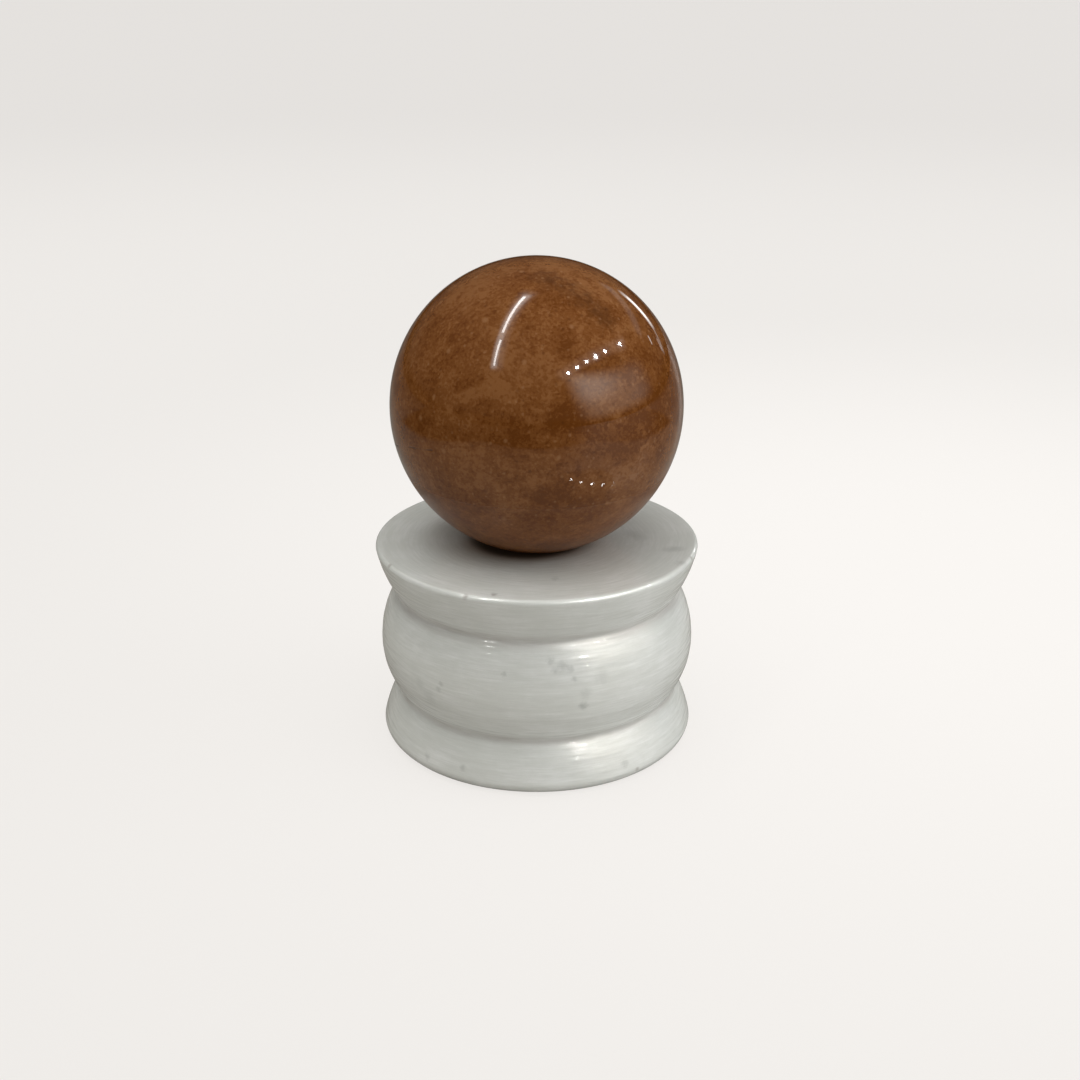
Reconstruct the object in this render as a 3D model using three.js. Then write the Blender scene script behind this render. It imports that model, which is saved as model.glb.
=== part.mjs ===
// A polished stone ball that rests in the shallow seat of a turned and painted wooden stand.
// Millimetres, +Z up. The origin is the middle of the stand's flat underside.

import * as THREE from "three";

// Ball
const BALL_DIAMETER = 47.4;

// Stand: the widest part of the belly, and how far the foot and the rim stand proud of it
const STAND_DIAMETER = 53.5;
const FOOT_OVERHANG = 0.2;
const RIM_OVERHANG = 0.3;

// Stand: heights of its mouldings, from the floor up
const FOOT_HEIGHT = 8.7;
const BELLY_LOWER_HEIGHT = 8.3;
const BELLY_UPPER_HEIGHT = 9.4;
const RIM_HEIGHT = 8.2;

// Stand: how deep each groove is cut below the widest part of the belly
const LOWER_GROOVE_DEPTH = 2.75;
const UPPER_GROOVE_DEPTH = 2.8;

// Stand: how far the sides of the foot and the rim swell, and how round their outer edges are
const FOOT_SWELL = 0.35;
const RIM_SWELL = 0.37;
const FOOT_EDGE_RADIUS = 1.8;
const RIM_EDGE_RADIUS = 0.7;

// Seat: a shallow dish whose edge carries the ball, with the clearance between edge and ball, and the gap
// that stays free below the ball's lowest point
const SEAT_DIAMETER = 16;
const SEAT_CLEARANCE = 0.1;
const SEAT_FLOOR_GAP = 0.8;

// Smoothness of the round forms
const SEGMENTS_AROUND = 64;
const BALL_RINGS = 32;
const STEPS = { foot: 5, bellyLower: 6, bellyUpper: 7, rim: 6, edge: 3, seat: 4 };

// Sizes that follow from the ones above
const ballRadius = BALL_DIAMETER / 2;
const bellyRadius = STAND_DIAMETER / 2;
const footRadius = bellyRadius + FOOT_OVERHANG;
const rimRadius = bellyRadius + RIM_OVERHANG;
const lowerGroove = new THREE.Vector2(bellyRadius - LOWER_GROOVE_DEPTH, FOOT_HEIGHT);
const bellyMiddle = new THREE.Vector2(bellyRadius, lowerGroove.y + BELLY_LOWER_HEIGHT);
const upperGroove = new THREE.Vector2(bellyRadius - UPPER_GROOVE_DEPTH, bellyMiddle.y + BELLY_UPPER_HEIGHT);
const standHeight = upperGroove.y + RIM_HEIGHT;
const seatRadius = SEAT_DIAMETER / 2;
const ballCentreHeight = standHeight + Math.sqrt((ballRadius + SEAT_CLEARANCE) ** 2 - seatRadius ** 2);
const seatFloorHeight = ballCentreHeight - ballRadius - SEAT_FLOOR_GAP;

// Points on a circle about centre, from one angle to another, both ends included.
function arcAbout(centre, radius, from, to, steps) {
  return Array.from({ length: steps + 1 }, (_, i) => {
    const angle = from + ((to - from) * i) / steps;
    return new THREE.Vector2(centre.x + radius * Math.cos(angle), centre.y + radius * Math.sin(angle));
  });
}

// Points from start up to end on a flat arc that swells away from the axis.
function swellingSide(start, end, swell, steps) {
  const along = end.clone().sub(start);
  const halfChord = along.length() / 2;
  const outward = new THREE.Vector2(along.y, -along.x).normalize();
  const radius = (halfChord ** 2 + swell ** 2) / (2 * swell);
  return Array.from({ length: steps + 1 }, (_, i) => {
    const offset = ((2 * i) / steps - 1) * halfChord;
    const rise = Math.sqrt(radius ** 2 - offset ** 2) - (radius - swell);
    return start
      .clone()
      .lerp(end, i / steps)
      .addScaledVector(outward, rise);
  });
}

// Points on an arc that stands upright at the widest point and runs from there to end.
function shoulder(widest, end, steps) {
  const drop = widest.x - end.x;
  const rise = end.y - widest.y;
  const radius = (rise ** 2 + drop ** 2) / (2 * drop);
  const centre = new THREE.Vector2(widest.x - radius, widest.y);
  return arcAbout(centre, radius, 0, Math.asin(rise / radius), steps);
}

// Quarter round of an outside edge, from straight down to level, or from level to straight up.
function roundedEdge(outerRadius, height, radius, from, to) {
  return arcAbout(new THREE.Vector2(outerRadius - radius, height), radius, from, to, STEPS.edge);
}

// Points of the dish in the top of the stand, from its edge to the axis, level at the axis.
function seatDish() {
  const depth = standHeight - seatFloorHeight;
  const radius = (seatRadius ** 2 + depth ** 2) / (2 * depth);
  const centre = new THREE.Vector2(0, seatFloorHeight + radius);
  const edgeAngle = Math.asin(seatRadius / radius) - Math.PI / 2;
  return arcAbout(centre, radius, edgeAngle, -Math.PI / 2, STEPS.seat);
}

// Outline of the stand from the middle of its underside, out and up its side, and in to the middle of the seat.
function standOutline() {
  const footWidest = new THREE.Vector2(footRadius, FOOT_EDGE_RADIUS);
  const rimWidest = new THREE.Vector2(rimRadius, standHeight - RIM_EDGE_RADIUS);
  const stretches = [
    [new THREE.Vector2(0, 0)],
    roundedEdge(footRadius, footWidest.y, FOOT_EDGE_RADIUS, -Math.PI / 2, 0),
    swellingSide(footWidest, lowerGroove, FOOT_SWELL, STEPS.foot),
    shoulder(bellyMiddle, lowerGroove, STEPS.bellyLower).reverse(),
    shoulder(bellyMiddle, upperGroove, STEPS.bellyUpper),
    swellingSide(upperGroove, rimWidest, RIM_SWELL, STEPS.rim),
    roundedEdge(rimRadius, rimWidest.y, RIM_EDGE_RADIUS, 0, Math.PI / 2),
    seatDish(),
  ];
  const points = stretches.flat();
  // Neighbouring stretches share an end point, which is kept once, and the last point lies on the axis.
  const outline = points.filter((point, i) => i === 0 || point.distanceTo(points[i - 1]) > 1e-6);
  outline.at(-1).x = 0;
  return outline;
}

// The lathe and the sphere are made about Y, so each is turned to stand on Z.
function standGeometry() {
  return new THREE.LatheGeometry(standOutline(), SEGMENTS_AROUND).rotateX(Math.PI / 2);
}

function ballGeometry() {
  return new THREE.SphereGeometry(ballRadius, SEGMENTS_AROUND, BALL_RINGS).rotateX(Math.PI / 2);
}

const polishedStone = new THREE.MeshStandardMaterial({ color: 0x6b3f20, roughness: 0.08, metalness: 0 });
const pearlPaint = new THREE.MeshStandardMaterial({ color: 0xc8c7c2, roughness: 0.35, metalness: 0.1 });

const stand = new THREE.Mesh(standGeometry(), pearlPaint);
stand.name = "turned_stand";

const ball = new THREE.Mesh(ballGeometry(), polishedStone);
ball.name = "stone_ball";
ball.position.z = ballCentreHeight;

const sphereOnStand = new THREE.Group();
sphereOnStand.add(stand, ball);

export default sphereOnStand;
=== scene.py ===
"""A polished brown stone ball resting on a turned wooden stand painted pearl white.

Lengths on the object are millimetres until a mesh or the camera is made, where MM turns them into metres.
The floor, the lamps and the relief in the materials are in metres from the start. An azimuth is counted in
degrees from the front (-Y) towards the right (+X), and an elevation from level upwards.
"""
import math
import random

import bmesh
import bpy
import numpy as np
from mathutils import Matrix, Vector, noise


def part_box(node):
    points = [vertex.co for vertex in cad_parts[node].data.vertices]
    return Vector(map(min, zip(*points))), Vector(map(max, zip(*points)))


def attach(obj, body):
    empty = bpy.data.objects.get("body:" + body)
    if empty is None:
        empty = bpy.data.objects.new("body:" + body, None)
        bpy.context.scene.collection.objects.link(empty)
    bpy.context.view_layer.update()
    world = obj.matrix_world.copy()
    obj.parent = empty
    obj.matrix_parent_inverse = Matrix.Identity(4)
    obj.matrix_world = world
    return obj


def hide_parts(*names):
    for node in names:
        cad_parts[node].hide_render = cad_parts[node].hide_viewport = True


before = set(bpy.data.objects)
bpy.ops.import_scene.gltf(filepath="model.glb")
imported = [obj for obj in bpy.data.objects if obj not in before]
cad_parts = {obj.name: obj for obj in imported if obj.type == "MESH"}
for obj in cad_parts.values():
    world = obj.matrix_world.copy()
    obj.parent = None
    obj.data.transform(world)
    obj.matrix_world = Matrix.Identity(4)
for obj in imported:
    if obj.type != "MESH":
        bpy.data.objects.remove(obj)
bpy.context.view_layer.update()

MM = 0.001

# Sizes that come from the frame
ball_low, ball_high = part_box("stone_ball")
stand_low, stand_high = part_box("turned_stand")
BALL_RADIUS = (ball_high.x - ball_low.x) / 2 / MM
BALL_CENTRE = Vector((0, 0, (ball_high.z + ball_low.z) / 2 / MM))
STAND_HEIGHT = stand_high.z / MM
RIM_RADIUS = stand_high.x / MM

# Profile of the stand, as the frame has it, with radii given from the belly's and heights above the floor
RIM_OVERHANG = 0.3
FOOT_OVERHANG = 0.2
LOWER_GROOVE_DEPTH = 2.75
UPPER_GROOVE_DEPTH = 2.8
LOWER_GROOVE_HEIGHT = 8.7
BELLY_HEIGHT = 17.0
UPPER_GROOVE_HEIGHT = 26.4
BELLY_RADIUS = RIM_RADIUS - RIM_OVERHANG
FOOT_RADIUS = BELLY_RADIUS + FOOT_OVERHANG
LOWER_GROOVE = (BELLY_RADIUS - LOWER_GROOVE_DEPTH, LOWER_GROOVE_HEIGHT)
BELLY_WIDEST = (BELLY_RADIUS, BELLY_HEIGHT)
UPPER_GROOVE = (BELLY_RADIUS - UPPER_GROOVE_DEPTH, UPPER_GROOVE_HEIGHT)
FOOT_SWELL = 0.35
RIM_SWELL = 0.37
FOOT_EDGE_RADIUS = 1.8
RIM_EDGE_RADIUS = 0.7
SEAT_RADIUS = 8.0
SEAT_FLOOR_GAP = 0.8

# How finely the stand is meshed and how its profile is eased
STAND_SEGMENTS = 384
SIDE_STEP = 0.26
TOP_STEP = 0.5
UNDERSIDE_STEP = 3.0
UPPER_GROOVE_EASE = 0.5
LOWER_GROOVE_EASE = 0.9
SEAT_EDGE_EASE = 0.5

# Camera, fitted to the outlines in the photograph. The focal length and the shift are in its pixels, and the
# nearest and farthest distances that it sees are in metres.
PHOTO_SIDE = 1080
SENSOR_WIDTH = 36.0
FOCAL_PIXELS = 1400.0
SHIFT_PIXELS = 88.28
CAMERA_AIM = (0.537, 0.0, 17.3)
CAMERA_DISTANCE = 243.62
CAMERA_PITCH = 25.394
NEAREST_SEEN = 0.01
FARTHEST_SEEN = 40


def direction(azimuth, elevation):
    """Unit vector towards an azimuth and elevation in degrees."""
    a, e = math.radians(azimuth), math.radians(elevation)
    return Vector((math.sin(a) * math.cos(e), -math.cos(a) * math.cos(e), math.sin(e)))


def make_camera():
    data = bpy.data.cameras.new("camera")
    data.sensor_fit = "HORIZONTAL"
    data.sensor_width = SENSOR_WIDTH
    data.lens = SENSOR_WIDTH * FOCAL_PIXELS / PHOTO_SIDE
    data.shift_y = SHIFT_PIXELS / PHOTO_SIDE
    data.clip_start = NEAREST_SEEN
    data.clip_end = FARTHEST_SEEN
    camera = bpy.data.objects.new("camera", data)
    bpy.context.scene.collection.objects.link(camera)
    camera.location = (Vector(CAMERA_AIM) + direction(0, CAMERA_PITCH) * CAMERA_DISTANCE) * MM
    camera.rotation_euler = (math.radians(90 - CAMERA_PITCH), 0, 0)
    bpy.context.scene.camera = camera


# Node helpers
class Nodes:
    """A material's or world's node tree, with short calls for the nodes that it is made of."""

    def __init__(self, tree):
        self.tree = tree
        self.tree.nodes.clear()

    def add(self, kind, inputs=None, **settings):
        """Adds a node. inputs maps a socket's name or number to a value or to another node's output."""
        node = self.tree.nodes.new(kind)
        for name, value in settings.items():
            setattr(node, name, value)
        for name, value in (inputs or {}).items():
            self.put(node.inputs[name], value)
        return node

    def put(self, socket, value):
        if isinstance(value, bpy.types.NodeSocket):
            self.tree.links.new(value, socket)
        else:
            socket.default_value = value

    def math(self, operation, *values, clamp=False):
        node = self.add("ShaderNodeMath", dict(enumerate(values)), operation=operation)
        node.use_clamp = clamp
        return node.outputs[0]

    def vector_math(self, operation, *values):
        node = self.add("ShaderNodeVectorMath", dict(enumerate(values)), operation=operation)
        scalar = operation in ("LENGTH", "DISTANCE", "DOT_PRODUCT")
        return node.outputs["Value" if scalar else "Vector"]

    def scaled(self, vector, scale):
        return self.vector_math("MULTIPLY", vector, scale)

    def noise(self, vector, scale, detail=2.0, roughness=0.5, distortion=0.0):
        inputs = {"Vector": vector, "Scale": scale, "Detail": detail}
        inputs.update({"Roughness": roughness, "Distortion": distortion})
        return self.add("ShaderNodeTexNoise", inputs).outputs["Fac"]

    def cells(self, vector, scale, randomness=1.0):
        """Voronoi cells: (distance to the cell's point, random grey of the cell)."""
        inputs = {"Vector": vector, "Scale": scale, "Randomness": randomness}
        node = self.add("ShaderNodeTexVoronoi", inputs, feature="F1")
        grey = self.add("ShaderNodeSeparateColor", {"Color": node.outputs["Color"]}).outputs[0]
        return node.outputs["Distance"], grey

    def band(self, value, low, high, bottom=0.0, top=1.0):
        """value from low to high becomes bottom to top, smoothly, and stays there outside that range."""
        inputs = {"Value": value, "From Min": low, "From Max": high}
        inputs.update({"To Min": bottom, "To Max": top})
        node = self.add("ShaderNodeMapRange", inputs, interpolation_type="SMOOTHSTEP")
        return node.outputs["Result"]

    def mix(self, factor, first, second, blend="MIX"):
        """Colour mix of two colours or colour outputs."""
        node = self.add("ShaderNodeMix", data_type="RGBA", blend_type=blend)
        self.put(node.inputs["Factor"], factor)
        for name, colour in (("A", first), ("B", second)):
            linked = isinstance(colour, bpy.types.NodeSocket)
            self.put(node.inputs[name], colour if linked else (*colour, 1))
        return node.outputs["Result"]

    def near(self, position, place, radius, softness=0.6):
        """1 within a ball of that radius about place, falling to 0 over softness times the radius."""
        distance = self.vector_math("DISTANCE", position, tuple(place))
        return self.band(distance, radius * (1 - softness), radius * (1 + softness), 1.0, 0.0)

    def bump(self, height, strength, distance, normal=None):
        inputs = {"Height": height, "Strength": strength, "Distance": distance}
        if normal is not None:
            inputs["Normal"] = normal
        return self.add("ShaderNodeBump", inputs).outputs["Normal"]


def new_material(name):
    material = bpy.data.materials.new(name)
    material.use_nodes = True
    return material, Nodes(material.node_tree)


def object_millimetres(nodes):
    """Place on the piece, in millimetres of the frame."""
    place = nodes.add("ShaderNodeTexCoord").outputs["Object"]
    return nodes.scaled(place, (1 / MM, 1 / MM, 1 / MM))


# Polished stone

STONE_DARK = (0.098, 0.029, 0.0045)
STONE_BROWN = (0.137, 0.047, 0.0105)
STONE_LIGHT = (0.182, 0.072, 0.022)
STONE_PALE = (0.27, 0.135, 0.060)
STONE_BLACK = (0.035, 0.012, 0.004)

# Patterns of the stone: how fine each one is, in a millimetre, and its share of the tone
CLOUD_SCALE = 0.15
CLOUD_WEIGHT = 0.7
BLOTCH_SCALE = 0.42
BLOTCH_WEIGHT = 0.75
COARSE_GRAIN_SCALE = 0.9
COARSE_GRAIN_WEIGHT = 0.15
GRAIN_SCALE = 2.3
GRAIN_WEIGHT = 0.20
FINE_SCALE = 2.8
FINE_WEIGHT = 0.34
RAGGED_SCALE = 0.9
RAGGED_SHIFT = (4.0, 4.0, 4.0)
# Over the first range of the tone the stone turns from brown to light, over the second from dark to brown
LIGHTER_TONES = (1.09, 1.31)
DARKER_TONES = (0.87, 1.10)

# Clouds on the ball: azimuth, elevation, radius in millimetres, and how far they shift the tone
DARK_CLOUDS = [
    (-41, 14, 4.6, 0.16), (-52, 4, 4.0, 0.14), (-55, 21, 4.0, 0.16), (-72, 36, 5.0, 0.12),
    (2, 4, 4.4, 0.20), (10, 13, 3.2, 0.16), (19, 2, 4.2, 0.15), (-17, 8, 3.2, 0.12),
    (34, 2, 4.5, 0.17), (58, 14, 6.5, 0.20), (62, -4, 5.0, 0.10), (9, -18, 3.0, 0.12),
    (4, -25, 3.2, 0.13), (21, -27, 3.4, 0.12), (-43, 31, 2.6, 0.09), (35, 50, 3.6, 0.2),
    (24, 62, 3.0, 0.2), (20, 47, 4.0, 0.16), (-30, 25, 1.8, 0.10), (140, 10, 7.0, 0.16),
    (-130, -15, 7.0, 0.15), (175, 45, 6.5, 0.15), (-165, 20, 5.0, 0.12),
]
# The wide light clouds on the left are partly painted light, lightening the side that the lamps leave darker
LIGHT_CLOUDS_AND_PAINTED_LIGHT = [
    (-21, 22, 4.5, 0.12), (-12, 28, 5.0, 0.13), (-3, 17, 3.0, 0.12), (-36, 62, 6.0, 0.10),
    (-2, 78, 6.0, 0.10), (48, 62, 5.5, 0.12), (47, 42, 4.0, 0.10), (23, 41, 4.5, 0.10),
    (14, 1, 2.0, 0.10), (-47, 27, 2.5, 0.07), (-20, -14, 5.5, 0.07), (-32, 3, 4.0, 0.1),
    (-62, 12, 9.0, 0.12), (-66, 34, 6.0, 0.08), (30, -12, 5.0, 0.08), (-150, 40, 6.0, 0.12),
    (110, -20, 7.0, 0.10),
]
# Share of the dark clouds' shift that shows
DARK_CLOUD_SHARE = 0.55

# Pale grains on the ball: azimuth, elevation and radius
PALE_SPOTS = [
    (-28, 47, 0.42), (-41, 33, 0.36), (-48, 7, 0.36), (-42, 16, 0.30), (-5, 32, 0.36),
    (46, 22, 0.26), (-11, 4, 0.28), (8, -2, 0.30), (-20, 74, 0.34), (-68, 65, 0.34),
    (-71, 49, 0.40), (18, 45, 0.34), (-36, -3, 0.40), (12, 6, 0.22), (30, -24, 0.30),
    (-14, -30, 0.34),
]
PALE_SPOT_SHARE = 0.42
SPECK_SCALE = 1.05
PALE_SPECK_SHARE = 0.40
DARK_SPECK_SHARE = 0.30

# A dark vein, as azimuth and elevation of its bends
VEIN = [(8, 71), (20, 66), (30, 60), (36, 54), (38, 47)]
VEIN_WIDTH = 1.7
VEIN_TONE = (0.055, 0.018, 0.004)

# Hairline cracks that show as dark lines on the left of the ball, as azimuth and elevation of their bends
CRACKS = [
    [(-84, -13), (-71, -10), (-55, -6), (-42, -4)],
    [(-92, 53), (-86, 57), (-82, 60), (-80, 64)],
]
CRACK_HALF_WIDTH = 0.14
CRACK_DEPTH = 0.05
CRACK_TONE_SHARE = 0.5
CRACK_ROUGHNESS = 0.3

# The polish, its slight ripple in metres, and the height above the floor below which it turns dull
STONE_IOR = 1.46
POLISH_ROUGHNESS = (0.035, 0.11)
RIPPLE_SCALE = 1.1
RIPPLE_STRENGTH = 0.2
RIPPLE_HEIGHT = 0.0000012
DULL_BELOW = 51.5
DULL_ROUGHNESS = 0.30
DULL_GLOSS = 0.2
FULL_GLOSS = 0.5


def on_ball(azimuth, elevation):
    return BALL_CENTRE + direction(azimuth, elevation) * BALL_RADIUS


def largest(nodes, values):
    """Largest of several node values."""
    total = values[0]
    for value in values[1:]:
        total = nodes.math("MAXIMUM", total, value)
    return total


def line_mask(nodes, position, places, half_width, softness):
    """1 on a line through places on the ball, falling to 0 at the sides."""
    masks = []
    points = [on_ball(*place) for place in places]
    for start, end in zip(points, points[1:]):
        along = (end - start).normalized()
        from_start = nodes.vector_math("SUBTRACT", position, tuple(start))
        travelled = nodes.vector_math("DOT_PRODUCT", from_start, tuple(along))
        held = nodes.math("MINIMUM", nodes.math("MAXIMUM", travelled, 0.0), (end - start).length)
        nearest = nodes.add("ShaderNodeVectorMath", {0: tuple(along), "Scale": held}, operation="SCALE")
        distance = nodes.vector_math("DISTANCE", from_start, nearest.outputs["Vector"])
        inner = half_width * (1 - softness)
        outer = half_width * (1 + softness)
        masks.append(nodes.band(distance, inner, outer, 1.0, 0.0))
    return largest(nodes, masks)


def stone_tone(nodes, place, ragged):
    """How light the stone is: patterns of every size, and clouds in their places."""
    clouds = nodes.noise(place, CLOUD_SCALE, detail=4.0, roughness=0.55, distortion=0.4)
    blotches = nodes.noise(ragged, BLOTCH_SCALE, detail=5.0, roughness=0.68)
    _, grain = nodes.cells(place, GRAIN_SCALE)
    _, coarse_grain = nodes.cells(ragged, COARSE_GRAIN_SCALE)
    fine = nodes.noise(place, FINE_SCALE, detail=2.5, roughness=0.7)
    tone = nodes.math("MULTIPLY_ADD", clouds, CLOUD_WEIGHT, nodes.math("MULTIPLY", blotches, BLOTCH_WEIGHT))
    tone = nodes.math("MULTIPLY_ADD", grain, GRAIN_WEIGHT, tone)
    tone = nodes.math("MULTIPLY_ADD", coarse_grain, COARSE_GRAIN_WEIGHT, tone)
    tone = nodes.math("MULTIPLY_ADD", fine, FINE_WEIGHT, tone)
    for azimuth, elevation, radius, shift in DARK_CLOUDS:
        mask = nodes.near(ragged, on_ball(azimuth, elevation), radius, softness=0.7)
        tone = nodes.math("MULTIPLY_ADD", mask, -shift * DARK_CLOUD_SHARE, tone)
    # Light clouds; the wide ones on the left are partly painted light
    for azimuth, elevation, radius, shift in LIGHT_CLOUDS_AND_PAINTED_LIGHT:
        mask = nodes.near(ragged, on_ball(azimuth, elevation), radius, softness=0.8)
        tone = nodes.math("MULTIPLY_ADD", mask, shift, tone)
    return tone


def with_specks(nodes, place, colour):
    """The colour with small pale and dark specks all over and the larger pale grains in their places."""
    distance, kind = nodes.cells(place, SPECK_SCALE)
    speck = nodes.band(distance, 0.10, 0.36, 1.0, 0.0)
    pale = nodes.math("MULTIPLY", speck, nodes.band(kind, 0.70, 1.0))
    colour = nodes.mix(nodes.math("MULTIPLY", pale, PALE_SPECK_SHARE), colour, STONE_PALE)
    dark = nodes.math("MULTIPLY", speck, nodes.band(kind, 0.02, 0.30, 1.0, 0.0))
    colour = nodes.mix(nodes.math("MULTIPLY", dark, DARK_SPECK_SHARE), colour, STONE_BLACK)
    spots = [nodes.near(place, on_ball(a, e), radius, softness=0.7) for a, e, radius in PALE_SPOTS]
    spot_share = nodes.math("MULTIPLY", largest(nodes, spots), PALE_SPOT_SHARE)
    return nodes.mix(spot_share, colour, STONE_PALE)


def stone_roughness(nodes, place, height, crack):
    """A high polish that handling has dulled a little, rougher in the cracks and towards the underside."""
    handling = nodes.noise(place, 0.22, detail=4.0, roughness=0.7)
    roughness = nodes.band(handling, 0.45, 0.80, *POLISH_ROUGHNESS)
    roughness = nodes.math("MULTIPLY_ADD", crack, CRACK_ROUGHNESS, roughness)
    dull = nodes.band(height, DULL_BELOW - 5, DULL_BELOW, DULL_ROUGHNESS, 0.0)
    return nodes.math("MAXIMUM", roughness, dull)


def stone_material():
    """Polished brown stone: cloudy tone, grains, pale and dark specks, a dark vein and hairline cracks."""
    material, nodes = new_material("polished_stone")
    place = object_millimetres(nodes)
    wobble = nodes.add("ShaderNodeTexNoise", {"Vector": place, "Scale": RAGGED_SCALE, "Detail": 3.0})
    shift = nodes.vector_math("SUBTRACT", wobble.outputs["Color"], (0.5, 0.5, 0.5))
    ragged = nodes.vector_math("ADD", place, nodes.scaled(shift, RAGGED_SHIFT))

    tone = stone_tone(nodes, place, ragged)
    lighter = nodes.band(tone, *LIGHTER_TONES)
    darker = nodes.band(tone, *DARKER_TONES, 1.0, 0.0)
    colour = nodes.mix(lighter, STONE_BROWN, STONE_LIGHT)
    colour = nodes.mix(darker, colour, STONE_DARK)

    vein = line_mask(nodes, ragged, VEIN, VEIN_WIDTH, 0.9)
    vein_noise = nodes.noise(place, 1.0, detail=4.0, roughness=0.7)
    vein_grain = nodes.band(vein_noise, 0.36, 0.66, 0.25, 0.75)
    colour = nodes.mix(nodes.math("MULTIPLY", vein, vein_grain), colour, VEIN_TONE)
    colour = with_specks(nodes, place, colour)
    crack = largest(nodes, [line_mask(nodes, place, bends, CRACK_HALF_WIDTH, 0.6) for bends in CRACKS])
    colour = nodes.mix(nodes.math("MULTIPLY", crack, CRACK_TONE_SHARE), colour, STONE_BLACK)

    height = nodes.add("ShaderNodeSeparateXYZ", {"Vector": place}).outputs["Z"]
    gloss = nodes.band(height, DULL_BELOW - 6, DULL_BELOW - 1, DULL_GLOSS, FULL_GLOSS)
    ripple = nodes.noise(place, RIPPLE_SCALE, detail=3.0, roughness=0.5)
    shader = nodes.add(
        "ShaderNodeBsdfPrincipled",
        {
            "Base Color": colour,
            "Roughness": stone_roughness(nodes, place, height, crack),
            "IOR": STONE_IOR,
            "Specular IOR Level": gloss,
            "Normal": nodes.bump(ripple, RIPPLE_STRENGTH, RIPPLE_HEIGHT),
        },
    )
    nodes.add("ShaderNodeOutputMaterial", {"Surface": shader.outputs["BSDF"]})
    return material


# Pearl paint

PAINT_TONE = (0.625, 0.635, 0.60)
PAINT_BRIGHT = (0.70, 0.705, 0.68)
PAINT_SHADE = (0.50, 0.505, 0.47)
# Dark tone for the painted shade in the grooves, also put into the pits
PAINT_HOLLOW_SHADE = (0.29, 0.25, 0.225)
PAINT_SMUDGE = (0.30, 0.31, 0.29)
PAINT_METALLIC = 0.12
PAINT_ROUGHNESS = 0.34
PAINT_IOR = 1.5
COAT_WEIGHT = 0.8
COAT_ROUGHNESS = 0.035
COAT_IOR = 1.6

# How fine the brushwork is: twice for the way around the axis, then along the profile in a millimetre
LONG_STROKES = (3.2, 3.2, 1.1)
STROKES = (4.5, 4.5, 2.4)
BRISTLES = (11.0, 11.0, 7.0)
SOFT_STROKES = (4.0, 4.0, 2.0)
COAT_RIDGES = (5.5, 5.5, 1.7)
THIN_SHARE = 0.24
BRISTLE_SHARE = 0.20
TOP_STROKE_SHARE = 0.4
# Heights of the fine relief, in metres
SOFT_STROKE_RELIEF = 0.00003
GRAIN_RELIEF = 0.00001
COAT_RELIEF = 0.00021

# Painted shade in the grooves, with how far it reaches up and down
GROOVE_SHADE = [(UPPER_GROOVE_HEIGHT, 1.9), (LOWER_GROOVE_HEIGHT, 1.2)]
GROOVE_SHADE_SHARE = 0.5

# Painted shadow of the ball round its seat: brown, near black in the middle, fainter and wider to the left
SEAT_SHADE_CENTRE = (-1.5, -0.4, STAND_HEIGHT)
SEAT_SHADE_RADIUS = 9.7
SEAT_SHADE_TONE = (0.20, 0.125, 0.085)
SEAT_SHADOW_MIDDLE = (0.046, 0.027, 0.017)
SHADOW_HALO_CENTRE = (-3.6, 0.8, STAND_HEIGHT)
SHADOW_HALO_RADIUS = 9.7
SHADOW_HALO_FADE = 7.6
SHADOW_HALO_SHARE = 0.42

# Smudges: azimuth, height on the side or distance from the axis on the top face, radius, and how dark
SIDE_SMUDGES = [
    (5, 23.6, 0.55, 0.34), (6.5, 22.2, 0.5, 0.36), (9, 22.9, 0.7, 0.38), (11.5, 22.4, 0.5, 0.34),
    (16, 15.9, 0.62, 0.55), (-35, 17.9, 0.42, 0.4), (-36, 16.7, 0.42, 0.34), (-41, 14.6, 1.2, 0.2),
    (-45, 16.2, 0.9, 0.2), (13, 20.7, 0.4, 0.4), (-11, 21.5, 0.4, 0.34), (23, 20.4, 1.0, 0.22),
    (17, 18.0, 0.8, 0.22), (33, 3.3, 0.6, 0.36), (-27, 3.3, 0.45, 0.34), (-43, 3.0, 0.5, 0.34),
    (110, 14.0, 0.9, 0.4), (150, 22.0, 0.6, 0.4), (-140, 12.0, 0.8, 0.4), (-100, 21.0, 0.5, 0.4),
    (170, 4.0, 0.7, 0.4),
]
TOP_SMUDGES = [
    (94, 16.4, 1.5, 0.24), (87, 17.2, 1.3, 0.22), (76, 24.0, 1.0, 0.38), (74, 22.6, 1.0, 0.28),
    (63, 26.2, 0.8, 0.3), (9, 18.5, 0.6, 0.3), (150, 21.0, 1.4, 0.28), (-130, 23.0, 1.2, 0.28),
    (-15, 25.0, 0.45, 0.4),
]
# Small pits: azimuth, distance from the axis, height, radius and depth
PITS = [
    (-62, 26.7, 34.3, 0.50, 0.20), (-24, 26.7, 34.2, 0.55, 0.22), (-15, 25.3, 34.6, 0.42, 0.10),
    (70, 26.8, 34.2, 0.50, 0.16), (118, 26.7, 33.4, 0.50, 0.18), (-155, 26.6, 34.2, 0.60, 0.20),
    (-96, 26.9, 2.0, 0.50, 0.16), (38, 26.9, 1.6, 0.45, 0.14), (165, 26.7, 17.2, 0.50, 0.14),
]


def on_stand(azimuth, radius, height):
    """Place at that distance from the stand's axis and that height."""
    return direction(azimuth, 0) * radius + Vector((0, 0, height))


def on_stand_side(azimuth, height):
    """Place on the side of the stand at that height."""
    side = [point for point in STAND_PROFILE if point[0] > SEAT_RADIUS + 10 and point[1] > 0.2]
    radius = min(side, key=lambda point: abs(point[1] - height))[0]
    return on_stand(azimuth, radius, height)


def brushed(nodes, turning, scales, detail, roughness):
    """Noise drawn out along the turning."""
    return nodes.noise(nodes.scaled(turning, scales), 1.0, detail=detail, roughness=roughness)


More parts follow.
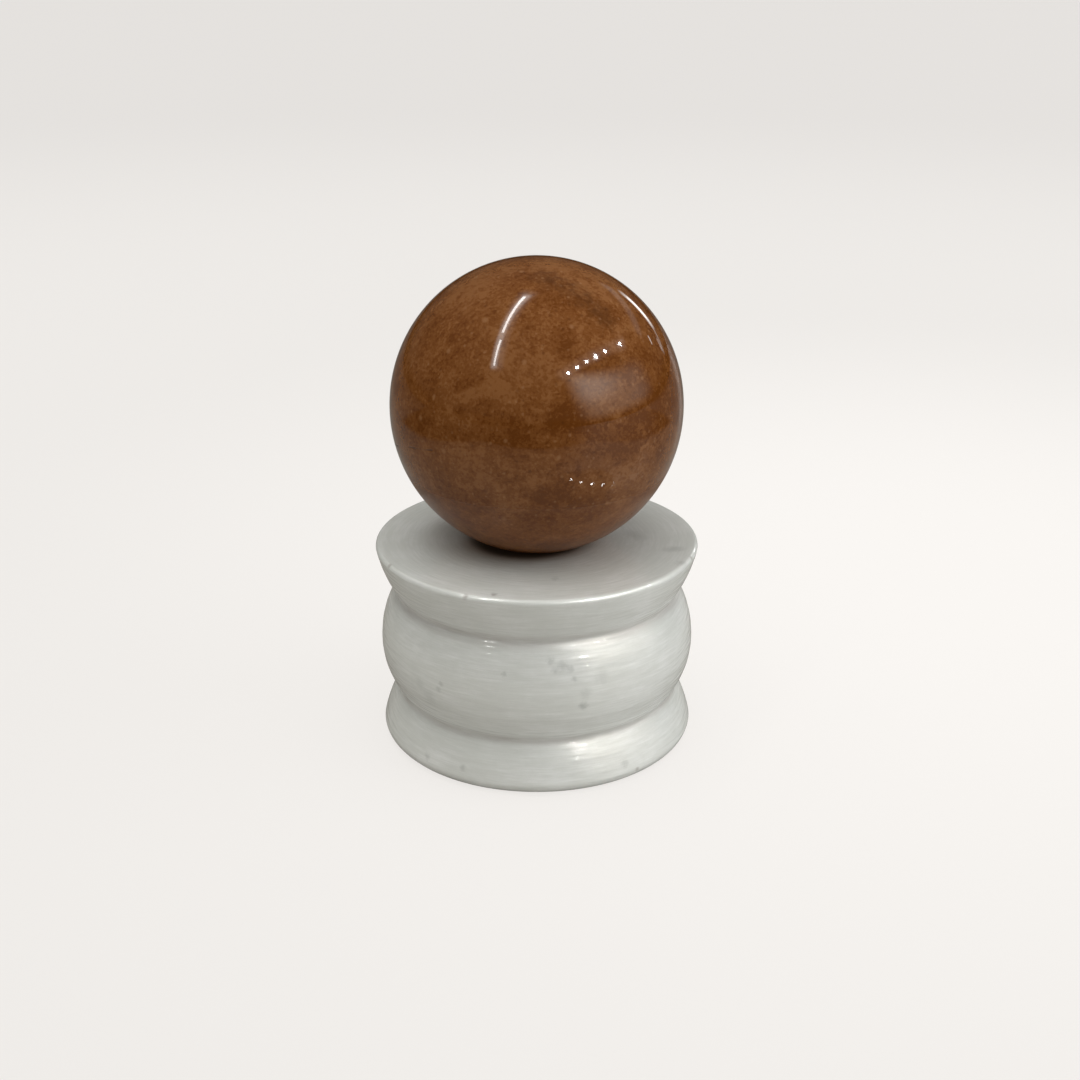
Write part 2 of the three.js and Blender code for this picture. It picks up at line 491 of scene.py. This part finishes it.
def painted_tone(nodes, place, turning, height, stroke_share):
    """Colour of the brushed paint, thinner in places, with painted shade in the grooves."""
    long_strokes = brushed(nodes, turning, LONG_STROKES, 3.0, 0.55)
    strokes = brushed(nodes, turning, STROKES, 4.0, 0.6)
    bristles = brushed(nodes, turning, BRISTLES, 3.0, 0.6)
    clouds = nodes.noise(place, 0.14, detail=4.0, roughness=0.6)
    grit = nodes.noise(place, 3.5, detail=3.0, roughness=0.7)

    light = nodes.math("MULTIPLY_ADD", strokes, 0.5, nodes.math("MULTIPLY", clouds, 0.5))
    colour = nodes.mix(nodes.band(light, 0.42, 0.66), PAINT_TONE, PAINT_BRIGHT)
    thin = nodes.band(nodes.math("MULTIPLY_ADD", grit, 0.3, long_strokes), 0.50, 0.78, THIN_SHARE, 0.0)
    colour = nodes.mix(nodes.math("MULTIPLY", thin, stroke_share), colour, PAINT_SHADE)
    fine_thin = nodes.band(bristles, 0.36, 0.60, BRISTLE_SHARE, 0.0)
    colour = nodes.mix(nodes.math("MULTIPLY", fine_thin, stroke_share), colour, PAINT_SHADE)

    patchy = nodes.band(long_strokes, 0.30, 0.70, 0.3, 1.0)
    # Painted shade along the grooves, patchy along the strokes
    for groove_height, reach in GROOVE_SHADE:
        away = nodes.math("ABSOLUTE", nodes.math("SUBTRACT", height, groove_height))
        groove_shade = nodes.math("MULTIPLY", nodes.band(away, 0.0, reach, 1.0, 0.0), patchy)
        colour = nodes.mix(nodes.math("MULTIPLY", groove_shade, GROOVE_SHADE_SHARE), colour, PAINT_HOLLOW_SHADE)
    return colour


def with_marks(nodes, place, colour):
    """The colour with ragged smudges, and darker in the pits."""
    wobble = nodes.add("ShaderNodeTexNoise", {"Vector": place, "Scale": 1.6, "Detail": 3.0})
    centred = nodes.vector_math("SUBTRACT", wobble.outputs["Color"], (0.5, 0.5, 0.5))
    ragged = nodes.vector_math("ADD", place, nodes.scaled(centred, (1.4, 1.4, 1.0)))
    marks = [(on_stand_side(a, z), radius, depth) for a, z, radius, depth in SIDE_SMUDGES]
    marks += [(on_stand(a, r, STAND_HEIGHT), radius, depth) for a, r, radius, depth in TOP_SMUDGES]
    for centre, radius, depth in marks:
        mask = nodes.near(ragged, centre, radius, softness=0.8)
        colour = nodes.mix(nodes.math("MULTIPLY", mask, depth), colour, PAINT_SMUDGE)
    for azimuth, radius, height, size, _ in PITS:
        mask = nodes.near(place, on_stand(azimuth, radius, height), size * 0.8, softness=0.6)
        colour = nodes.mix(nodes.math("MULTIPLY", mask, 0.5), colour, PAINT_HOLLOW_SHADE)
    return colour


def with_seat_shade(nodes, place, colour):
    """The colour with the painted shadow around the seat, and how strong the shadow's brown part is."""
    from_shadow_halo = nodes.vector_math("DISTANCE", place, SHADOW_HALO_CENTRE)
    faint_shadow = nodes.band(from_shadow_halo, SHADOW_HALO_RADIUS, SHADOW_HALO_RADIUS + SHADOW_HALO_FADE, SHADOW_HALO_SHARE, 0.0)
    colour = nodes.mix(faint_shadow, colour, SEAT_SHADE_TONE)
    from_seat_shade = nodes.vector_math("DISTANCE", place, SEAT_SHADE_CENTRE)
    brown = nodes.band(from_seat_shade, SEAT_SHADE_RADIUS - 0.5, SEAT_SHADE_RADIUS + 2.6, 0.7, 0.0)
    colour = nodes.mix(brown, colour, SEAT_SHADE_TONE)
    middle = nodes.band(from_seat_shade, SEAT_SHADE_RADIUS - 1.2, SEAT_SHADE_RADIUS + 0.9, 0.95, 0.0)
    return nodes.mix(middle, colour, SEAT_SHADOW_MIDDLE), brown


def paint_material():
    """Pearl paint brushed on while the stand turned, under a clear coat with the ridges of the brush."""
    material, nodes = new_material("pearl_paint")
    place = object_millimetres(nodes)
    turning = nodes.add("ShaderNodeAttribute", attribute_name="turning").outputs["Vector"]
    height = nodes.add("ShaderNodeSeparateXYZ", {"Vector": place}).outputs["Z"]
    # The strokes show less on the top face
    stroke_share = nodes.band(height, STAND_HEIGHT - 0.4, STAND_HEIGHT - 0.1, 1.0, TOP_STROKE_SHARE)

    colour = painted_tone(nodes, place, turning, height, stroke_share)
    colour = with_marks(nodes, place, colour)
    # The painted shadow of the ball around the seat; its brown share also thins the coat there
    colour, seat_shade_share = with_seat_shade(nodes, place, colour)

    relief = nodes.bump(brushed(nodes, turning, SOFT_STROKES, 1.0, 0.4), 1.0, SOFT_STROKE_RELIEF)
    relief = nodes.bump(nodes.noise(place, 1.2, detail=2.0), 0.5, GRAIN_RELIEF, relief)
    ridges = brushed(nodes, turning, COAT_RIDGES, 1.5, 0.45)
    shader = nodes.add(
        "ShaderNodeBsdfPrincipled",
        {
            "Base Color": colour,
            "Metallic": PAINT_METALLIC,
            "Roughness": PAINT_ROUGHNESS,
            "IOR": PAINT_IOR,
            "Coat Weight": nodes.math("MULTIPLY_ADD", seat_shade_share, -1.0, COAT_WEIGHT, clamp=True),
            "Coat Roughness": COAT_ROUGHNESS,
            "Coat IOR": COAT_IOR,
            "Normal": relief,
            "Coat Normal": nodes.bump(ridges, stroke_share, COAT_RELIEF),
        },
    )
    nodes.add("ShaderNodeOutputMaterial", {"Surface": shader.outputs["BSDF"]})
    return material


# Stand mesh

def arc(centre, radius, start, end, step):
    """Points on a circle between two angles in radians, about step apart, both ends included."""
    count = max(2, math.ceil(abs(end - start) * radius / step))
    angles = [start + (end - start) * i / count for i in range(count + 1)]
    return [(centre[0] + radius * math.cos(a), centre[1] + radius * math.sin(a)) for a in angles]


def straight(start, end, step):
    count = max(1, math.ceil(math.dist(start, end) / step))
    return [tuple(s + (e - s) * i / count for s, e in zip(start, end)) for i in range(count + 1)]


def swelling_side(start, end, swell, step):
    """Flat arc from start up to end that swells away from the axis."""
    length = math.dist(start, end)
    outward = ((end[1] - start[1]) / length, (start[0] - end[0]) / length)
    radius = ((length / 2) ** 2 + swell**2) / (2 * swell)
    count = math.ceil(length / step)
    points = []
    for i in range(count + 1):
        share = i / count
        offset = (2 * share - 1) * length / 2
        rise = math.sqrt(radius**2 - offset**2) - (radius - swell)
        points.append(tuple(s + (e - s) * share + rise * o for s, e, o in zip(start, end, outward)))
    return points


def shoulder(widest, groove, step):
    """Arc that stands upright at the belly's widest point and runs from there to a groove."""
    drop = widest[0] - groove[0]
    rise = groove[1] - widest[1]
    radius = (rise**2 + drop**2) / (2 * drop)
    return arc((widest[0] - radius, widest[1]), radius, 0, math.asin(rise / radius), step)


def seat_dish(step):
    depth = STAND_HEIGHT - (BALL_CENTRE.z - BALL_RADIUS - SEAT_FLOOR_GAP)
    radius = (SEAT_RADIUS**2 + depth**2) / (2 * depth)
    edge = math.asin(SEAT_RADIUS / radius) - math.pi / 2
    return arc((0, STAND_HEIGHT - depth + radius), radius, edge, -math.pi / 2, step)


def eased(points, corner, reach):
    """The profile with the corner at that place rounded, over about that reach on both sides."""
    line = np.array(points)
    distance = np.hypot(*(line - corner).T)
    spacing = np.gradient(np.cumsum(np.r_[0, np.hypot(*np.diff(line, axis=0).T)]))
    result = line.copy()
    for i in np.nonzero(distance < 1.5 * reach)[0]:
        own = reach * max(0.0, 1 - (distance[i] / (1.5 * reach)) ** 2)
        if own > 0:
            weights = np.exp(-0.5 * (np.hypot(*(line - line[i]).T) / (0.5 * own + 1e-6)) ** 2)
            weights = weights * spacing
            result[i] = (weights[:, None] * line).sum(0) / weights.sum()
    return [tuple(point) for point in result]


def stand_profile():
    """Outline from the middle of the underside, out and up the side, to the middle of the seat."""
    foot_widest = (FOOT_RADIUS, FOOT_EDGE_RADIUS)
    rim_widest = (RIM_RADIUS, STAND_HEIGHT - RIM_EDGE_RADIUS)
    foot_centre = (FOOT_RADIUS - FOOT_EDGE_RADIUS, FOOT_EDGE_RADIUS)
    rim_centre = (RIM_RADIUS - RIM_EDGE_RADIUS, STAND_HEIGHT - RIM_EDGE_RADIUS)
    quarter = math.pi / 2
    stretches = [
        straight((0, 0), (foot_centre[0], 0), UNDERSIDE_STEP),
        arc(foot_centre, FOOT_EDGE_RADIUS, -quarter, 0, SIDE_STEP),
        swelling_side(foot_widest, LOWER_GROOVE, FOOT_SWELL, SIDE_STEP),
        shoulder(BELLY_WIDEST, LOWER_GROOVE, SIDE_STEP)[::-1],
        shoulder(BELLY_WIDEST, UPPER_GROOVE, SIDE_STEP),
        swelling_side(UPPER_GROOVE, rim_widest, RIM_SWELL, SIDE_STEP),
        arc(rim_centre, RIM_EDGE_RADIUS, 0, quarter, SIDE_STEP / 2),
        straight((rim_centre[0], STAND_HEIGHT), (SEAT_RADIUS + 1, STAND_HEIGHT), TOP_STEP),
        straight((SEAT_RADIUS + 1, STAND_HEIGHT), (SEAT_RADIUS, STAND_HEIGHT), SIDE_STEP),
        seat_dish(TOP_STEP),
    ]
    points = [point for stretch in stretches for point in stretch]
    profile = [points[0]] + [b for a, b in zip(points, points[1:]) if math.dist(a, b) > 1e-6]
    profile = eased(profile, UPPER_GROOVE, UPPER_GROOVE_EASE)
    profile = eased(profile, LOWER_GROOVE, LOWER_GROOVE_EASE)
    profile = eased(profile, (SEAT_RADIUS, STAND_HEIGHT), SEAT_EDGE_EASE)
    return profile[1:-1]


STAND_PROFILE = stand_profile()

RIDGE_HEIGHT = 0.022
STROKE_HEIGHT = 0.010
WOBBLE = 0.035


def stand_relief(azimuth, travelled):
    """How far the surface stands off the true profile: turned ridges, brush strokes and a slight wobble."""
    round_about = Vector((math.cos(azimuth), math.sin(azimuth), 0))
    ridge = noise.noise(Vector((0.3, 7.1, travelled * 0.8)))
    strokes = noise.noise(round_about * 4 + Vector((0, 0, travelled * 1.5)))
    wobble = noise.noise(round_about * 0.8 + Vector((3, 1, travelled * 0.05)))
    return RIDGE_HEIGHT * ridge + STROKE_HEIGHT * strokes + WOBBLE * wobble


def pit_depth(point):
    """Depth of the pits at a point in millimetres."""
    depth = 0.0
    for azimuth, radius, height, size, deepest in PITS:
        distance = (point - on_stand(azimuth, radius, height)).length / size
        if distance < 1:
            depth += deepest * (1 - distance**2) ** 2
    return depth


def stand_rows():
    """For each point of the profile: the point, normal, length travelled and share of the relief."""
    profile = np.array(STAND_PROFILE)
    steps = np.hypot(*np.diff(profile, axis=0).T)
    travelled = np.r_[0, np.cumsum(steps)]
    tangent = np.gradient(profile, axis=0)
    normals = np.stack([tangent[:, 1], -tangent[:, 0]], axis=1)
    normals /= np.linalg.norm(normals, axis=1)[:, None]
    # The underside and the hidden seat stay true, and the top face has half of the relief
    side = (profile[:, 1] > 0.4) & (profile[:, 0] > SEAT_RADIUS + 0.5)
    share = np.where(profile[:, 1] > STAND_HEIGHT - 0.01, 0.5, 1.0) * side
    return list(zip(profile, normals, travelled, share))


def stand_point(angle, row):
    """Place of one vertex of the stand, with the relief and the pits."""
    (radius, height), (out, up), length, amount = row
    around = Vector((math.cos(angle), math.sin(angle), 0))
    point = around * radius + Vector((0, 0, height))
    if amount:
        offset = amount * (stand_relief(angle, length) - WOBBLE / 2) - pit_depth(point)
        point += (around * out + Vector((0, 0, up))) * offset
    point.z = min(max(point.z, 0.0), STAND_HEIGHT)
    return point


def make_stand():
    """Turned stand as one closed surface, with the paint's ridges and pits in its mesh."""
    rows = stand_rows()
    angles = [2 * math.pi * i / STAND_SEGMENTS for i in range(STAND_SEGMENTS)]
    mesh = bpy.data.meshes.new("painted_stand")
    builder = bmesh.new()
    rings = []
    turning = []
    for row in rows:
        rings.append([builder.verts.new(stand_point(angle, row) * MM) for angle in angles])
        turning += [(math.cos(angle), math.sin(angle), row[2]) for angle in angles]
    for low, high in zip(rings, rings[1:]):
        for i in range(STAND_SEGMENTS):
            j = (i + 1) % STAND_SEGMENTS
            builder.faces.new((low[i], low[j], high[j], high[i]))
    seat_floor = rows[-1][0][1]
    for ring, height, order in ((rings[0], 0.0, -1), (rings[-1], seat_floor, 1)):
        middle = builder.verts.new(Vector((0, 0, height)) * MM)
        turning.append((1.0, 0.0, 0.0))
        for i in range(STAND_SEGMENTS):
            pair = (ring[i], ring[(i + 1) % STAND_SEGMENTS])[::order]
            builder.faces.new((*pair, middle))
    for face in builder.faces:
        face.smooth = True
    builder.to_mesh(mesh)
    builder.free()
    attribute = mesh.attributes.new("turning", "FLOAT_VECTOR", "POINT")
    attribute.data.foreach_set("vector", np.array(turning, np.float32).ravel())
    stand = bpy.data.objects.new("painted_stand", mesh)
    bpy.context.scene.collection.objects.link(stand)
    stand.data.materials.append(paint_material())
    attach(stand, "root")
    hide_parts("turned_stand")


# Ball mesh

BALL_SUBDIVISIONS = 7
BALL_WAVINESS = 0.006
BALL_PIT_COUNT = 26
BALL_PIT_RADIUS = (0.22, 0.45)
BALL_PIT_DEPTH = 0.05
RANDOM_SEED = 11


def ball_pits():
    """Tiny pits that the polish left, at random over the back and sides: place on the ball and radius."""
    chance = random.Random(RANDOM_SEED)
    pits = []
    while len(pits) < BALL_PIT_COUNT:
        azimuth = chance.uniform(-180, 180)
        elevation = math.degrees(math.asin(chance.uniform(-0.8, 1)))
        if abs(azimuth) > 50 or elevation < -30:
            pits.append((on_ball(azimuth, elevation), chance.uniform(*BALL_PIT_RADIUS)))
    return pits


def distance_to_line(point, points):
    """Shortest distance from a point to a line through points."""
    best = math.inf
    for start, end in zip(points, points[1:]):
        along = end - start
        share = max(0.0, min(1.0, (point - start).dot(along) / along.length_squared))
        best = min(best, (point - start - along * share).length)
    return best


def refine(builder, pits, cracks):
    """Cuts the mesh finer, twice, around the pits and cracks."""
    def near_detail(point, margin):
        if any((point - centre).length < radius + margin for centre, radius in pits):
            return True
        return any(distance_to_line(point, crack) < CRACK_HALF_WIDTH + margin for crack in cracks)

    for margin in (0.5, 0.3):
        close = {v for v in builder.verts if near_detail(v.co, margin)}
        edges = [e for e in builder.edges if e.verts[0] in close and e.verts[1] in close]
        bmesh.ops.subdivide_edges(builder, edges=edges, cuts=1, use_grid_fill=True)
        bmesh.ops.triangulate(builder, faces=[f for f in builder.faces if len(f.verts) > 3])


def ball_relief(point, pits, cracks):
    """How far the ball's surface stands off the true sphere at a point."""
    offset = BALL_WAVINESS * (noise.noise(point * 0.08) - 0.5)
    for centre, radius in pits:
        distance = (point - centre).length / radius
        if distance < 1:
            offset -= BALL_PIT_DEPTH * (1 - distance**2) ** 2
    for crack in cracks:
        distance = distance_to_line(point, crack) / CRACK_HALF_WIDTH
        if distance < 1:
            offset -= CRACK_DEPTH * (1 - distance**2)
    return offset


def make_ball():
    """Stone ball with a hand polisher's slight waviness, hairline cracks and tiny pits."""
    pits = ball_pits()
    cracks = [[on_ball(*place) for place in crack] for crack in CRACKS]
    builder = bmesh.new()
    bmesh.ops.create_icosphere(builder, subdivisions=BALL_SUBDIVISIONS, radius=BALL_RADIUS)
    bmesh.ops.translate(builder, verts=builder.verts, vec=BALL_CENTRE)
    refine(builder, pits, cracks)
    for vertex in builder.verts:
        outward = (vertex.co - BALL_CENTRE).normalized()
        point = BALL_CENTRE + outward * BALL_RADIUS
        vertex.co = (point + outward * ball_relief(point, pits, cracks)) * MM
    bmesh.ops.recalc_face_normals(builder, faces=builder.faces)
    for face in builder.faces:
        face.smooth = True
    mesh = bpy.data.meshes.new("polished_ball")
    builder.to_mesh(mesh)
    builder.free()
    ball = bpy.data.objects.new("polished_ball", mesh)
    bpy.context.scene.collection.objects.link(ball)
    ball.data.materials.append(stone_material())
    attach(ball, "root")
    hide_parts("stone_ball")


# Floor: lengths and places in metres

FLOOR_HALF = 9.0
FLOOR_TONE = (0.12, 0.118, 0.115)
FLOOR_BOUNCE = 0.42
# Its own light, its brightest place, and the shares of it there and far away, over a range of distances
FLOOR_OWN_LIGHT = (0.745, 0.722, 0.698)
FLOOR_BRIGHTEST = (0.09, 0.07, 0.0)
FLOOR_NEAR_LIGHT = 1.06
FLOOR_FAR_LIGHT = 0.93
FLOOR_FADE = (0.02, 0.26)
# Between these distances the floor stops taking light from the lamps and its own light makes up for it
FLOOR_PLAIN = (0.4, 1.2)
FLOOR_PLAIN_GAIN = 0.11

# The table top that the polish mirrors, with a duller part away from a small glossy one
TABLE_TONE = (0.25, 0.235, 0.21)
TABLE_FAR_TONE = (0.13, 0.125, 0.115)
TABLE_FADE = (0.06, 0.40)
TABLE_FRONT = -0.235
TABLE_SIDE = 0.20
TABLE_SIDE_END = 0.12
TABLE_EDGE = 0.02
TABLE_GLOSS_CENTRE = (0.043, -0.060, 0.0)
TABLE_GLOSS_RADIUS = 0.030
TABLE_GLOSS_FADE = 1.3
TABLE_ROUGHNESS = (0.015, 0.35)
TABLE_IOR = 1.45


def pale_floor(nodes, place, from_middle):
    """Plain pale shader of the floor."""
    plain = nodes.band(from_middle, *FLOOR_PLAIN)
    away = nodes.vector_math("DISTANCE", place, FLOOR_BRIGHTEST)
    fading = nodes.band(away, *FLOOR_FADE, FLOOR_NEAR_LIGHT, FLOOR_FAR_LIGHT)
    shader = nodes.add(
        "ShaderNodeBsdfPrincipled",
        {
            "Base Color": nodes.mix(plain, FLOOR_TONE, (0, 0, 0)),
            "Roughness": 0.9,
            "Specular IOR Level": 0.1,
            "Emission Color": (*FLOOR_OWN_LIGHT, 1),
            "Emission Strength": nodes.math("MULTIPLY_ADD", plain, FLOOR_PLAIN_GAIN, fading),
        },
    )
    return shader.outputs[0]


def table_top(nodes, place, from_middle):
    """Shader of the table top, dark beyond its edges."""
    axes = nodes.add("ShaderNodeSeparateXYZ", {"Vector": place}).outputs
    before_front = nodes.math("SUBTRACT", TABLE_FRONT, axes["Y"])
    beyond_side = nodes.math("SUBTRACT", nodes.math("ABSOLUTE", axes["X"]), TABLE_SIDE)
    beside = nodes.math("MINIMUM", beyond_side, nodes.math("SUBTRACT", TABLE_SIDE_END, axes["Y"]))
    off_table = nodes.band(nodes.math("MAXIMUM", before_front, beside), -TABLE_EDGE, TABLE_EDGE)
    table_tone = nodes.mix(nodes.band(from_middle, *TABLE_FADE), TABLE_TONE, TABLE_FAR_TONE)
    from_gloss = nodes.vector_math("DISTANCE", place, TABLE_GLOSS_CENTRE)
    gloss_end = TABLE_GLOSS_RADIUS * TABLE_GLOSS_FADE
    shader = nodes.add(
        "ShaderNodeBsdfPrincipled",
        {
            "Base Color": nodes.mix(off_table, table_tone, ROOM_DARK),
            "Roughness": nodes.band(from_gloss, TABLE_GLOSS_RADIUS, gloss_end, *TABLE_ROUGHNESS),
            "IOR": TABLE_IOR,
        },
    )
    return shader.outputs[0]


def make_floor():
    """Plain pale floor. Seen in the stone's polish it is the duller table top that the ball mirrors."""
    material, nodes = new_material("pale_floor")
    place = nodes.add("ShaderNodeTexCoord").outputs["Object"]
    from_middle = nodes.vector_math("LENGTH", place)
    path = nodes.add("ShaderNodeLightPath").outputs
    bounce = nodes.math("MULTIPLY", path["Is Diffuse Ray"], FLOOR_BOUNCE)
    pale_share = nodes.math("MAXIMUM", path["Is Camera Ray"], bounce)
    table = table_top(nodes, place, from_middle)
    pale = pale_floor(nodes, place, from_middle)
    both = nodes.add("ShaderNodeMixShader", {0: pale_share, 1: table, 2: pale})
    nodes.add("ShaderNodeOutputMaterial", {"Surface": both.outputs[0]})
    mesh = bpy.data.meshes.new("floor")
    corners = [(-FLOOR_HALF, -FLOOR_HALF, 0), (FLOOR_HALF, -FLOOR_HALF, 0)]
    corners += [(FLOOR_HALF, FLOOR_HALF, 0), (-FLOOR_HALF, FLOOR_HALF, 0)]
    mesh.from_pydata(corners, [], [(0, 1, 2, 3)])
    mesh.materials.append(material)
    floor = bpy.data.objects.new("floor", mesh)
    bpy.context.scene.collection.objects.link(floor)


# World: angles in degrees

WORLD_SEEN = (0.79, 0.768, 0.742)
AMBIENT = (0.70, 0.70, 0.678)
ROOM_DARK = (0.008, 0.007, 0.006)
ROOM_WALL = (0.055, 0.053, 0.05)
ROOM_CEILING = (0.11, 0.11, 0.11)
WALL_RISE = (3.0, 8.0)
CEILING_RISE = (18.0, 50.0)

# The window: where each of its soft edges starts and ends, with how far the left and upper edges slant
WINDOW_LIGHT = (1.3, 1.18, 1.05)
WINDOW_CORE_LIGHT = (2.1, 2.0, 1.85)
WINDOW_LEFT = (30, 50)
WINDOW_LEFT_SLANT = 0.25
WINDOW_RIGHT = (84, 108)
WINDOW_TOP = (37, 48)
WINDOW_TOP_SLANT = 0.2
WINDOW_BOTTOM = (0, 9)
WINDOW_CORE_RIGHT = (50, 84)
WINDOW_CORE_BOTTOM = (9, 24)

# Bright lines of the room that the polish mirrors: ends as azimuth and elevation, half width, radiance
GLOWS = [
    ((-165, 71), (-40, 43), 6.5, 0.9),
    ((-162, 72.5), (-43, 41.5), 3.5, 3.7),
    ((24, 38.5), (97, 35.9), 5.5, 0.5),
    ((152.5, 17.8), (146, 11.4), 3.7, 2.6),
    ((151.2, 16.4), (147.5, 12.9), 2.6, 4.4),
    ((146, 11.4), (137, 5.5), 1.6, 0.9),
    ((129.5, 17.2), (127.5, 15.2), 0.8, 5.0),
    ((138, 9.4), (136, 6.8), 0.8, 2.4),
    ((153, 27.0), (124, 25.5), 4.4, 0.40),
]
GLOW_TINT = (1.0, 1.0, 0.98)


def glow(nodes, towards, start, end, half_width):
    """Soft bright line of the room between two directions."""
    first = direction(*start)
    last = direction(*end)
    middle = (first + last).normalized()
    off_line = nodes.vector_math("DOT_PRODUCT", towards, tuple(first.cross(last).normalized()))
    width = math.sin(math.radians(half_width))
    across = nodes.band(nodes.math("ABSOLUTE", off_line), 0.25 * width, width, 1.0, 0.0)
    half_length = first.angle(middle)
    reach = math.cos(half_length + math.radians(half_width))
    from_middle = nodes.vector_math("DOT_PRODUCT", towards, tuple(middle))
    return nodes.math("MULTIPLY", across, nodes.band(from_middle, reach, math.cos(half_length)))


def with_window(nodes, azimuth, elevation, room):
    """The room's colour with the window and its brighter core."""
    left_edge = nodes.band(nodes.math("MULTIPLY_ADD", elevation, WINDOW_LEFT_SLANT, azimuth), *WINDOW_LEFT)
    right_edge = nodes.band(azimuth, *WINDOW_RIGHT, 1.0, 0.0)
    slanted = nodes.math("MULTIPLY_ADD", azimuth, WINDOW_TOP_SLANT, elevation)
    top_edge = nodes.band(slanted, *WINDOW_TOP, 1.0, 0.0)
    bottom_edge = nodes.band(elevation, *WINDOW_BOTTOM)
    sides = nodes.math("MULTIPLY", left_edge, right_edge)
    window = nodes.math("MULTIPLY", sides, nodes.math("MULTIPLY", top_edge, bottom_edge))
    core_right = nodes.band(azimuth, *WINDOW_CORE_RIGHT, 1.0, 0.0)
    core_bottom = nodes.band(elevation, *WINDOW_CORE_BOTTOM)
    core = nodes.math("MULTIPLY", window, nodes.math("MULTIPLY", core_right, core_bottom))
    room = nodes.mix(window, room, WINDOW_LIGHT)
    return nodes.mix(core, room, WINDOW_CORE_LIGHT, "ADD")


def make_world():
    """Soft light from all round, with a dim room, its window and bright lines for the polish to mirror."""
    world = bpy.data.worlds.new("studio")
    world.use_nodes = True
    bpy.context.scene.world = world
    nodes = Nodes(world.node_tree)
    path = nodes.add("ShaderNodeLightPath").outputs
    towards = nodes.add("ShaderNodeTexCoord").outputs["Generated"]
    axes = nodes.add("ShaderNodeSeparateXYZ", {"Vector": towards}).outputs
    front = nodes.math("MULTIPLY", axes["Y"], -1.0)
    azimuth = nodes.math("MULTIPLY", nodes.math("ARCTAN2", axes["X"], front), 180 / math.pi)
    elevation = nodes.math("MULTIPLY", nodes.math("ARCSINE", axes["Z"]), 180 / math.pi)

    room = nodes.mix(nodes.band(elevation, *WALL_RISE), ROOM_DARK, ROOM_WALL)
    room = nodes.mix(nodes.band(elevation, *CEILING_RISE), room, ROOM_CEILING)
    room = with_window(nodes, azimuth, elevation, room)
    for start, end, half_width, radiance in GLOWS:
        mask = glow(nodes, towards, start, end, half_width)
        room = nodes.mix(mask, room, tuple(radiance * part for part in GLOW_TINT), "ADD")

    colour = nodes.mix(path["Is Glossy Ray"], AMBIENT, room)
    colour = nodes.mix(path["Is Camera Ray"], colour, WORLD_SEEN)
    background = nodes.add("ShaderNodeBackground", {"Color": colour, "Strength": 1.0})
    nodes.add("ShaderNodeOutputWorld", {"Surface": background.outputs[0]})


# Lamps: lengths in metres

WARM_WHITE = (1.0, 0.99, 0.97)
COOL_WHITE = (0.94, 0.98, 1.03)

# Ceiling tubes and a row of ceiling spots: places on the ceiling as shares of its height above the ball
CEILING = 2.0
TUBES = [((-0.112, 0.291), (-0.411, -0.241)), ((-0.466, -0.349), (-0.768, -0.829))]
TUBE_WIDTH = 0.062
TUBE_RADIANCE = 13.0
SPOT_START = (0.628, -1.084)
SPOT_ROW = Vector((0.5, 0.86, 0)).normalized()
SPOT_STEP = 0.236
SPOTS_IN_ROW = (0, 1, 2, 3, 4, 6)
SPOT_WIDTH = 0.092
SPOT_RADIANCE = 400.0

# Large soft lamps about the ball: name, azimuth, elevation, width and height, radiance and colour
SOFT_LAMP_DISTANCE = 1.6
SOFT_LAMPS = [
    ("window", 78, 12, (1.7, 0.9), 2.5, COOL_WHITE),
    ("overhead", 60, 60, (1.6, 1.6), 0.4, WARM_WHITE),
    ("above", -60, 82, (1.6, 1.6), 1.15, WARM_WHITE),
]


def lamp(name, place, aim, size, radiance, colour, disk=False, lights="both"):
    """Area lamp of that radiance and size at a place, facing aim. lights is both, surface or gloss."""
    width, height = size
    data = bpy.data.lights.new(name, "AREA")
    data.shape = "ELLIPSE" if disk else "RECTANGLE"
    data.size = width
    data.size_y = height
    data.energy = 4 * width * height * radiance
    data.color = colour
    light = bpy.data.objects.new(name, data)
    bpy.context.scene.collection.objects.link(light)
    facing = (Vector(aim) - Vector(place)).to_track_quat("-Z", "Y").to_matrix().to_4x4()
    light.matrix_world = Matrix.Translation(place) @ facing
    light.visible_diffuse = lights != "gloss"
    light.visible_glossy = lights != "surface"
    return light


def bar(name, start, end, width, radiance, colour, facing):
    """Long lamp from start to end, turned about its length to face that way."""
    middle = (start + end) / 2
    size = ((end - start).length, width)
    light = lamp(name, middle, middle + facing, size, radiance, colour)
    along = (end - start).normalized()
    back = (-facing + along * facing.dot(along)).normalized()
    turned = Matrix((along, back.cross(along), back)).transposed().to_4x4()
    light.matrix_world = Matrix.Translation(middle) @ turned


def make_lamps():
    """Ceiling tubes, a row of ceiling spots, and soft light from the window and from above."""
    eye = BALL_CENTRE * MM
    ceiling = eye + Vector((0, 0, CEILING))
    down = Vector((0, 0, -1))
    for i, ends in enumerate(TUBES):
        start, end = (ceiling + Vector((*place, 0)) * CEILING for place in ends)
        bar(f"tube_{i}", start, end, TUBE_WIDTH, TUBE_RADIANCE, WARM_WHITE, down)
    first = ceiling + Vector((*SPOT_START, 0)) * CEILING
    size = (SPOT_WIDTH, SPOT_WIDTH)
    for i in SPOTS_IN_ROW:
        place = first + SPOT_ROW * (SPOT_STEP * CEILING * i)
        lamp(f"spot_{i}", place, eye, size, SPOT_RADIANCE, WARM_WHITE, disk=True, lights="gloss")
    for name, azimuth, elevation, size, radiance, colour in SOFT_LAMPS:
        place = eye + direction(azimuth, elevation) * SOFT_LAMP_DISTANCE
        lamp(name, place, eye, size, radiance, colour, lights="surface")


def set_tone():
    view = bpy.context.scene.view_settings
    view.view_transform = "Standard"
    view.look = "None"
    view.exposure = 0.0
    view.gamma = 1.0


make_camera()
make_stand()
make_ball()
make_floor()
make_world()
make_lamps()
set_tone()
